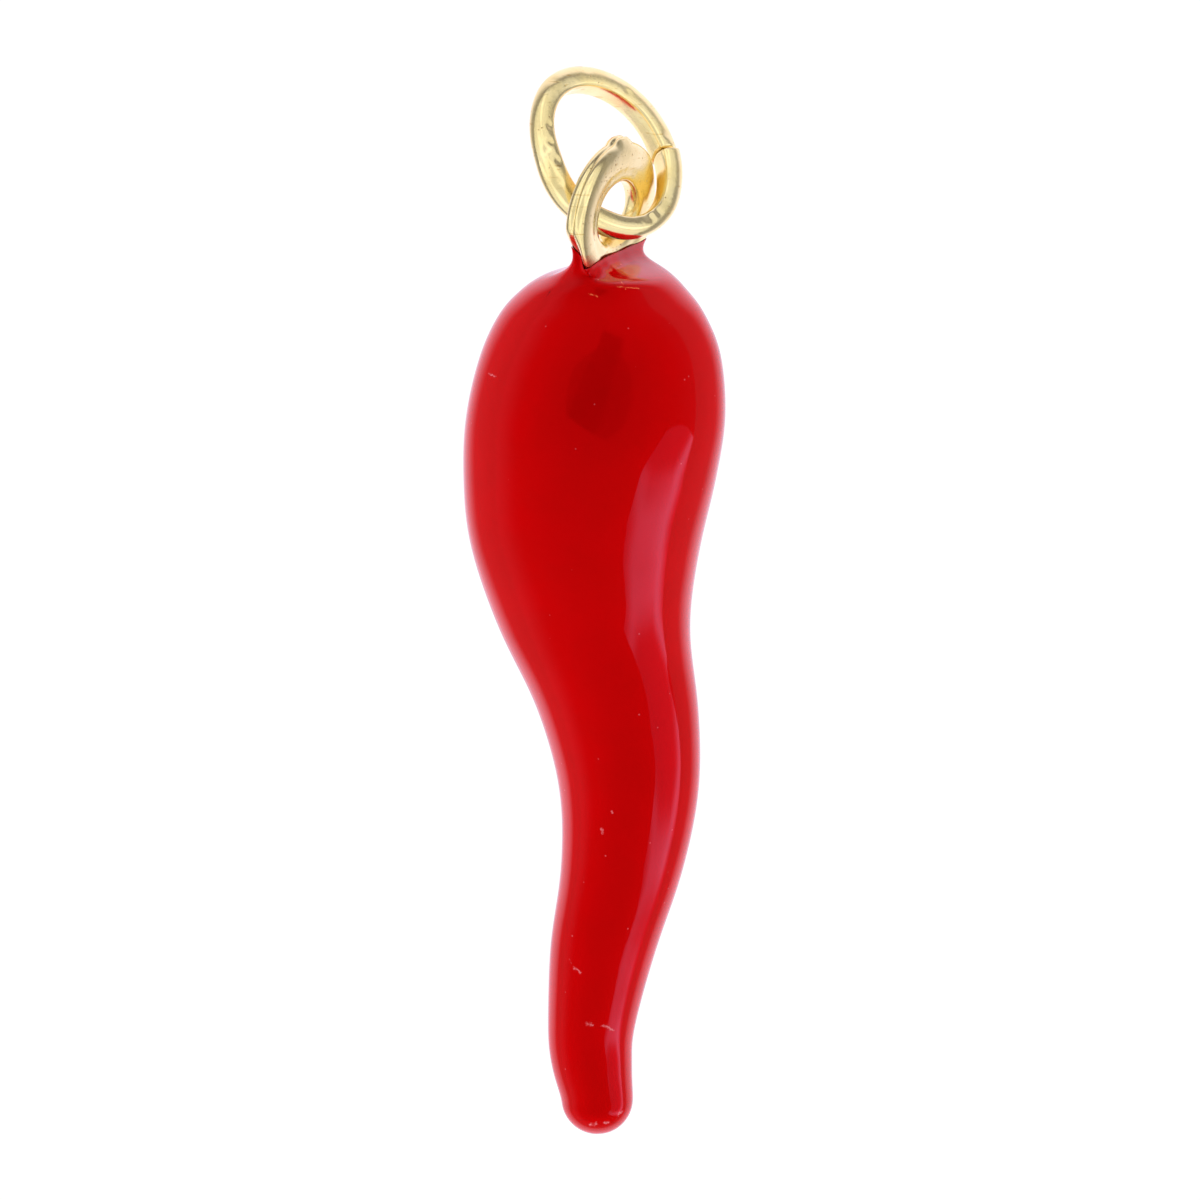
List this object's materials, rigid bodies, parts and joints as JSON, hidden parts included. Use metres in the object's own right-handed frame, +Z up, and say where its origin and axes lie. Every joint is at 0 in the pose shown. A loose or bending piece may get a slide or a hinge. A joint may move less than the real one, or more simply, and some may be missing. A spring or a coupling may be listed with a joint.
{
  "type": "horn amulet pendant",
  "caption": "Curved horn amulet pendant in glossy red enamel over a gold-toned casting, with a rounded eyelet at its neck and an oval split jump ring through it, lying on its side.",
  "frame": {"origin": "on the surface that the pendant lies on, under the middle of its box", "axes": "+Z up, +Y along the horn from its tip to the jump ring, +X to the right of the horn seen from above with the ring away from the viewer"},
  "size_m": [0.0078, 0.0328, 0.0068],
  "materials": {
    "gold_plate": "polished pale yellow gold plating with fine casting pits",
    "red_enamel": "smooth high gloss red enamel"
  },
  "bodies": {
    "root": {"horn_casting": "gold_plate", "enamel_coat": "red_enamel", "jump_ring": "gold_plate"}
  },
  "joints": []
}
